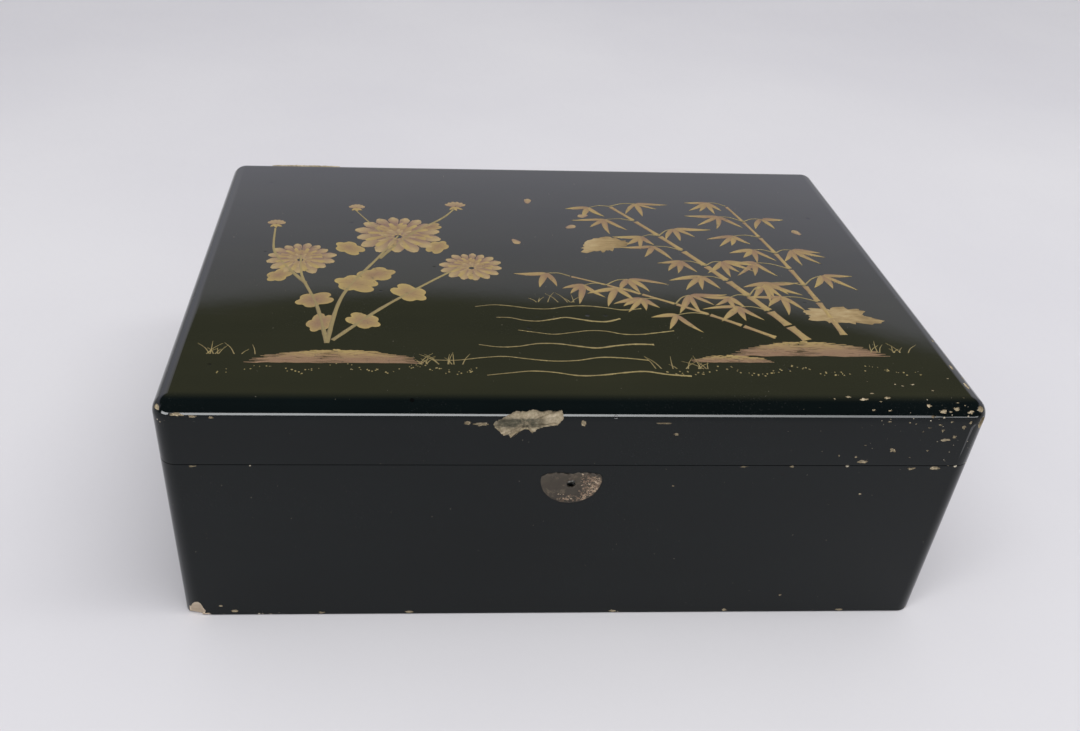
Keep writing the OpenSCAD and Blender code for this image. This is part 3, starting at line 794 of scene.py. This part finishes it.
def lobed_leaf(g, x, y, angle, size, tone):
    """A leaf with five rounded lobes and a vein in each."""
    pts = []
    ca, sa = math.cos(math.radians(angle)), math.sin(math.radians(angle))
    for i in range(34):
        a = 2 * math.pi * i / 34
        lobe = 0.62 + 0.30 * abs(math.cos(a * 2.5)) ** 0.7
        r = size * lobe * (1.12 - 0.30 * abs(math.sin(a / 2 + math.pi / 2)))
        u, v = r * math.cos(a), r * 0.72 * math.sin(a)
        pts.append((x + u * ca - v * sa, y + u * sa + v * ca))
    g.patch(pts, tone, tone + 0.9)
    for px, py in (pts[i] for i in (2, 8, 17, 25, 31)):
        vein = [(x + (px - x) * t, y + (py - y) * t) for t in (0.05, 0.4, 0.8)]
        g.band(vein, [0.34, 0.26, 0.1], [1.5, 1.5, 1.3])


# Stems as four points each, and leaves by place, direction, size and tone
STEMS = (((-92, -66), (-88, -30), (-74, 4), (-66, 24)), ((-92, -66), (-98, -38), (-106, -14), (-108, 4)),
         ((-90, -64), (-72, -40), (-52, -18), (-38, -4)), ((-74, 2), (-60, 26), (-46, 42), (-40, 52)),
         ((-104, -20), (-112, -8), (-120, 8), (-122, 30)))
LOBED_LEAVES = ((-84, -20, 160, 9.5, 0.0), (-74, -12, 20, 8.5, 0.1), (-100, -34, 200, 8.0, 0.2),
                (-60, -28, 320, 8.5, 0.0), (-48, 14, 60, 6.5, 0.1), (-88, 12, 140, 7.5, 0.05),
                (-52, 33, 200, 5.5, 0.2), (-116, -14, 230, 6.5, 0.1), (-96, -52, 250, 7.0, 0.3),
                (-78, -50, 330, 7.5, 0.1))


def flower_group(g, rose, lines):
    """The chrysanthemum plant: stems, three open flowers, three buds and leaves."""
    for stem in STEMS:
        lines.line(stem, 1.9, 0.8, (0.5, 0.1), 0.3)
    chrysanthemum(g, rose, -66, 27, 20.5, 5)
    chrysanthemum(g, rose, -108, 3, 15.5, 31)
    chrysanthemum(g, rose, -34, -3, 14.0, 12)
    for x, y, r in ((-39, 55, 5.6), (-122, 34, 4.6), (-86, 52, 4.2)):
        for i in range(6):
            rose.petal(x, y, 30 + 24 * i, 0.5, r, 2.7, (0.7, 0.1))
        for i in (-1, 0, 1):
            g.leaf(x, y, 270 + 46 * i, r * 0.8, 1.8, (0.2, 0.2))
    lines.line([(-70, 20), (-80, 38), (-86, 49)], 0.9, 0.5, (0.3, 0.1))
    for x, y, a, s, t in LOBED_LEAVES:
        lobed_leaf(g, x, y, a, s * 1.2, t)


# Banks by middle, reach, height and tone, and tufts of grass by middle, reach and number of blades
BANKS = ((-88, -77, 33, 8.5, 0.25), (94, -70, 30, 10, 0.3), (62, -76, 16, 4.5, 0.1))
TUFTS = ((-126, -74, 10, 11), (-48, -80, 13, 13), (126, -70, 8, 10), (40, -82, 12, 12), (0, -34, 9, 9))


def bank(g, cx, cy, w, h, tone):
    """Stacked strokes, each row in two halves that overlap, shorter towards the top."""
    rows = round(h * 1.3) + 3
    for k in range(rows):
        t = k / (rows - 1)
        reach = w * (1 - t ** 1.7) ** 0.6 + 1.5
        for start, end in ((-1.0, art.uniform(-0.2, 0.1)), (art.uniform(-0.25, -0.1), 1.0)):
            x0, x1 = cx + reach * start * art.uniform(0.86, 1.0), cx + reach * end * art.uniform(0.86, 1.0)
            pts, widths, tones = [], [], []
            for i in range(15):
                waver = 0.5 * noise.noise((i * 0.35, k * 0.4, cx))
                pts.append((x0 + (x1 - x0) * i / 14, cy - h * 0.25 + h * t + waver + 0.05 * start))
                swell = math.sin(math.pi * (i + 0.6) / 15.2) ** 0.5
                widths.append(art.uniform(0.75, 1.25) * h / rows * 1.25 * swell)
                tones.append(1.15 - 1.25 * t + 0.5 * noise.noise((i * 0.5, k, 3)) + tone)
            g.band(pts, widths, tones, 0.5, 0.7 + 0.02 * start)


def ripples(lines):
    for k in range(6):
        y = -38 - 9.5 * k
        x0, x1 = -52 + 20 * (k % 2), 30 + 14 * (k % 2)
        if k < 4:
            x0, x1 = -34 + 8 * (k % 3), 44 - 10 * ((k + 1) % 3)
        pts = [(x0 + (x1 - x0) * i / 9, y + 1.5 * math.sin(i * 1.35 + k) + 0.6 * math.sin(i * 3.1))
               for i in range(10)]
        lines.line(pts, 0.35, 1.0 if k % 2 else 0.6, (0.5, 0.1), 0.5)


def grass_tuft(lines, cx, cy, reach, count):
    for i in range(count):
        x = cx + art.uniform(-reach, reach)
        a = math.radians(90 + art.uniform(-50, 50))
        h = art.uniform(3, 9)
        lines.line([(x, cy), (x + 0.5 * h * math.cos(a), cy + 0.55 * h * math.sin(a)),
                    (x + h * math.cos(a) * 1.25, cy + h * math.sin(a))], 0.45, 0.12, (0.4, 0.1), 0, 4)


def banks_and_water(g, lines):
    """Low banks, ripples, grasses and moss dots."""
    for row in BANKS:
        bank(g, *row)
    ripples(lines)
    for row in TUFTS:
        grass_tuft(lines, *row)
    for i in range(150):
        x = art.choice((-1, 1)) * art.uniform(34, 132)
        y = -80 - 5 * abs(math.sin(x * 0.11)) + art.uniform(-1.6, 1.6)
        lines.dot(x, y, art.uniform(0.18, 0.42), art.uniform(0, 0.5))


gold, rose, fine = Gilding(), Gilding(), Gilding()
bamboo(gold, fine)
flower_group(gold, rose, fine)
banks_and_water(gold, fine)
for x, y, a in ((12, 34, 30), (24, 48, 200), (-4, 60, 80), (-14, 22, 300), (122, 30, 120)):
    rose.petal(x, y, a, 0, 5.2, 3.6, (0.6, 0.1))
gold.done("gilt_leaves", gold_leafing)
rose.done("gilt_blossoms", rose_leafing)
fine.done("gilt_fine_lines", line_gilding)


# Keyhole plate, with its crust
plate_low, plate_high = (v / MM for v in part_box("lock_plate"))
KEY_Z, KEY_R = 70.0, 1.7
PLATE_RISE = 5.8
PLATE_STEPS = 120
CRUMBS = 340
PLATE_TURNS = [2 * math.pi * i / PLATE_STEPS for i in range(PLATE_STEPS)]


def plate_edge(a):
    """A point of the plate's worn outline: a round foot, and two shoulders with a dip between them."""
    half_w = (plate_high[0] - plate_low[0]) / 2
    x = half_w * math.cos(a)
    shoulder = KEY_Z + PLATE_RISE / 3
    if math.sin(a) < 0:
        return x, shoulder + (shoulder - plate_low[2]) * math.sin(a)
    dip = 0.8 * math.exp(-((x + 1) / 2.4) ** 2)
    wave = 0.35 * (1 + math.sin(x * 2.3)) * 0.6
    return x, shoulder + PLATE_RISE * 2 / 3 * math.sin(a) ** 0.5 - dip - wave


def keyhole_plate():
    """A dented skin round the plate, rising from the keyhole and falling to the edge."""
    bm = bmesh.new()
    outer = [plate_edge(a) for a in PLATE_TURNS]
    face, back = plate_low[1], plate_high[1]
    rings = [[(KEY_R * math.cos(a), back, KEY_Z + KEY_R * math.sin(a)) for a in PLATE_TURNS]]
    for share in (0.0, 0.03, 0.1, 0.2, 0.32, 0.45, 0.58, 0.7, 0.82, 0.92, 0.97, 1.0):
        ring = []
        for a, (ox, oz) in zip(PLATE_TURNS, outer):
            x = KEY_R * math.cos(a) * (1 - share) + ox * share
            z = (KEY_Z + KEY_R * math.sin(a)) * (1 - share) + oz * share
            lump = noise.noise((x * 0.5, z * 0.5, 2)) * 0.04 + noise.noise((x * 1.9, z * 1.9, 5)) * 0.022
            edge = 0.16 * (max(0, share - 0.9) / 0.1) ** 2 + 0.12 * (max(0, 0.05 - share) / 0.05)
            y = face + 0.075 + edge - lump
            ring.append((x, max(y, face), z))
        rings.append(ring)
    rings.append([(x, back, z) for x, z in outer])
    ring_skin(bm, rings, close=True)
    piece("keyhole_plate_worn", bm, (plate_bronze,), "box_body", ("lock_plate",), 45)


def crust_grains():
    """Crumbs of corrosion on the plate's right side and foot."""
    bm = bmesh.new()
    grain = random.Random(5)
    placed = 0
    while placed < CRUMBS:
        x, z = grain.uniform(-9, 11.2), grain.uniform(61.2, 75.2)
        weight = max(0, (x - 3.0) / 8) + max(0, (66 - z) / 7) * max(0, (x + 7) / 16)
        inside = (x / 11.1) ** 2 + ((z - 71.6) / (10.4 if z < 71.6 else 3.6)) ** 2 < 1
        if not inside or math.hypot(x, z - KEY_Z) < KEY_R + 0.4 or grain.random() > weight:
            continue
        size = grain.uniform(0.12, 0.42)
        made = bmesh.ops.create_icosphere(bm, subdivisions=1, radius=1.0)["verts"]
        for v in made:
            k = 1 + 0.4 * noise.noise(v.co * 2 + Vector((placed, 0, 0)))
            v.co = Vector((x + v.co.x * size * k * 1.3, plate_low[1] + max(0.005, 0.115 + v.co.y * 0.10),
                           z + v.co.z * size * k))
        placed += 1
    piece("keyhole_plate_crust", bm, (crust_copper,), "box_body", (), 60)


keyhole_plate()
crust_grains()


# Torn scraps left on the lid
def scrap_finish():
    f = Finish("torn_scrap_paper", Roughness=0.95, Specular=0.1)
    fibre = f.noise(420, 5, 0.7, (0.4, 1.5, 1))
    stain = f.noise(70, 3)
    f.set("Base Color", f.ramp(fibre * 0.45 + stain * 0.55, (0.36, (0.150, 0.105, 0.052)),
                               (0.52, (0.310, 0.225, 0.115)), (0.66, (0.420, 0.330, 0.190))))
    f.bump(fibre, 0.5, 0.0001)
    return f


def scrap(name, middle, rx, ry, turn, seed, finish):
    """A torn piece of paper flat on the lacquer, slightly uneven."""
    bm = bmesh.new()
    outline = ragged(0, 0, rx, ry, random.Random(seed), 0.34, 54)
    ca, sa = math.cos(math.radians(turn)), math.sin(math.radians(turn))

    def place(u, v, h):
        return middle[0] + u * ca - v * sa, middle[1] + u * sa + v * ca, h

    rings = [[place(u, v, SKIN_TOP - 0.03) for u, v in outline]]
    for share in (1.0, 0.9, 0.7, 0.45, 0.2, 0.03):
        lift = 0.02 if share == 1.0 else 0.05
        ring = []
        for u, v in outline:
            uneven = 0.03 * noise.noise((u * share * 0.8, v * share * 0.8, seed))
            ring.append(place(u * share, v * share, SKIN_TOP + lift + uneven))
        rings.append(ring)
    ring_skin(bm, rings)
    piece(name, bm, (finish,), "lid", (), 60)


scrap_paper = scrap_finish()
scrap("torn_scrap_right", (115.2, -41.9), 14.8, 7.0, -1, 4, scrap_paper)
scrap("torn_scrap_small", (27.6, 17.2), 9.7, 7.0, 20, 9, scrap_paper)


# Floor, light and camera
def floor():
    f = Finish("floor_pale_cloth", Roughness=0.9, Specular=0.1)
    shade = f.noise(2.2, 4, 0.5).step(0.25, 0.75)
    f.set("Base Color", f.mix(shade, (0.640, 0.630, 0.660), (0.700, 0.690, 0.710)))
    f.bump(f.noise(2.6, 3, 0.5) + f.noise(240, 2) * 0.02, 0.10, 0.02)
    bm = bmesh.new()
    radius, drop = 9000, 0.4
    bmesh.ops.create_circle(bm, cap_ends=True, segments=96, radius=radius)
    bmesh.ops.translate(bm, verts=bm.verts, vec=(0, 0, -drop))
    piece("floor", bm, (f,), None)


def surroundings():
    """A pale studio. Glossy rays see a pale band behind the box up to about 30 degrees, dark above it and in
    front, and a bright strip low in front that draws the line of light on the lid's edge."""
    world = bpy.data.worlds.new("pale_studio")
    bpy.context.scene.world = world
    w = Finish("pale_studio", world)
    sky = w.add("ShaderNodeBackground")
    w.put(w.add("ShaderNodeOutputWorld").inputs[0], Sock(w, sky.outputs[0]))
    aside, behind, up = w.split(w.node("ShaderNodeTexCoord", output="Generated"))
    gloss = w.node("ShaderNodeLightPath", output="Is Glossy Ray")
    seen = w.node("ShaderNodeLightPath", output="Is Camera Ray")
    drop = (aside - 0.087).step(0.0, 0.31) * 0.022
    band = w.ramp((up + drop).clip(), (0.0, (0.55, 0.55, 0.57)), (0.34, (0.92, 0.92, 1.10)),
                  (0.385, (0.98, 0.98, 1.20)), (0.44, (0.82, 0.82, 1.02)), (0.494, (0.68, 0.68, 0.82)),
                  (0.508, (0.065, 0.068, 0.066)), (1.0, (0.03, 0.03, 0.03)))
    ahead = 0 - behind
    band = w.mix(ahead.step(0.10, 0.40), band, (0.045, 0.047, 0.044))
    strip_top = 1 - (up + aside.clip() * 0.2).step(0.20, 0.27)
    strip = ahead.step(0.55, 0.66) * up.step(0.0, 0.02) * strip_top * (1 - aside.step(0.10, 0.45) * 0.4)
    band = w.mix(strip, band, (18.0, 18.4, 18.6))
    soft = w.mix(up.clip(), (0.48, 0.48, 0.50), (0.76, 0.76, 0.78))
    colour = w.mix(gloss, soft, band)
    w.put(sky.inputs["Color"], w.mix(seen, colour, (0.68, 0.67, 0.70)))
    w.put(sky.inputs["Strength"], 1.0)


def softbox(name, place, aim, size, watts):
    lamp = bpy.data.lights.new(name, "AREA")
    lamp.shape = "RECTANGLE"
    lamp.size, lamp.size_y = size
    lamp.energy = watts
    ob = bpy.data.objects.new(name, lamp)
    ob.location = place
    ob.rotation_euler = (Vector(aim) - Vector(place)).to_track_quat("-Z", "Y").to_euler()
    ob.visible_glossy = False
    bpy.context.scene.collection.objects.link(ob)


def camera():
    """The camera solved from the box's outline: its axes on the frame, its place and its lens."""
    data = bpy.data.cameras.new("camera")
    data.sensor_width, data.lens = 36.0, 33.70
    data.shift_x, data.shift_y = 0.0729, 0.0217
    data.clip_start, data.clip_end = 0.01, 20
    ob = bpy.data.objects.new("camera", data)
    right, down, ahead = (0.9987, -0.0381, 0.0335), (0.0052, -0.5805, -0.8143), (0.0505, 0.8134, -0.5795)
    m = Matrix([(right[i], -down[i], -ahead[i]) for i in range(3)]).to_4x4()
    m.translation = Vector((-0.0602, -0.3910, 0.3163))
    ob.matrix_world = m
    bpy.context.scene.collection.objects.link(ob)
    bpy.context.scene.camera = ob


def lifted_flake():
    """A strip of lacquer standing up from the back shoulder, over the left hinge."""
    bm = bmesh.new()
    rows = []
    steps = 40
    left, length, height = -131.5, 34.5, 0.52
    for i in range(steps + 1):
        x = left + length * i / steps
        up = height * math.sin(math.pi * i / steps) ** 0.4 * (0.72 + 0.5 * noise.noise((x * 0.55, 3, 1)))
        section = ((101.6, 105.10), (102.1, 105.10), (102.3, 105.36 + up), (102.15, 105.38 + up))
        rows.append([bm.verts.new((x, y, z)) for y, z in section])
    for a, b in zip(rows, rows[1:]):
        for k in range(4):
            bm.faces.new((a[k], b[k], b[(k + 1) % 4], a[(k + 1) % 4]))
    bm.faces.new(rows[0])
    bm.faces.new(rows[-1][::-1])
    piece("lifted_lacquer_flake", bm, (ground,), "lid", (), 40)


lifted_flake()
floor()
surroundings()
softbox("overhead_softbox", (0.1, -0.35, 1.5), (0, 0, 0.05), (2.4, 0.30), 16)
camera()
bpy.context.scene.view_settings.view_transform = "Standard"

bpy.context.view_layer.update()
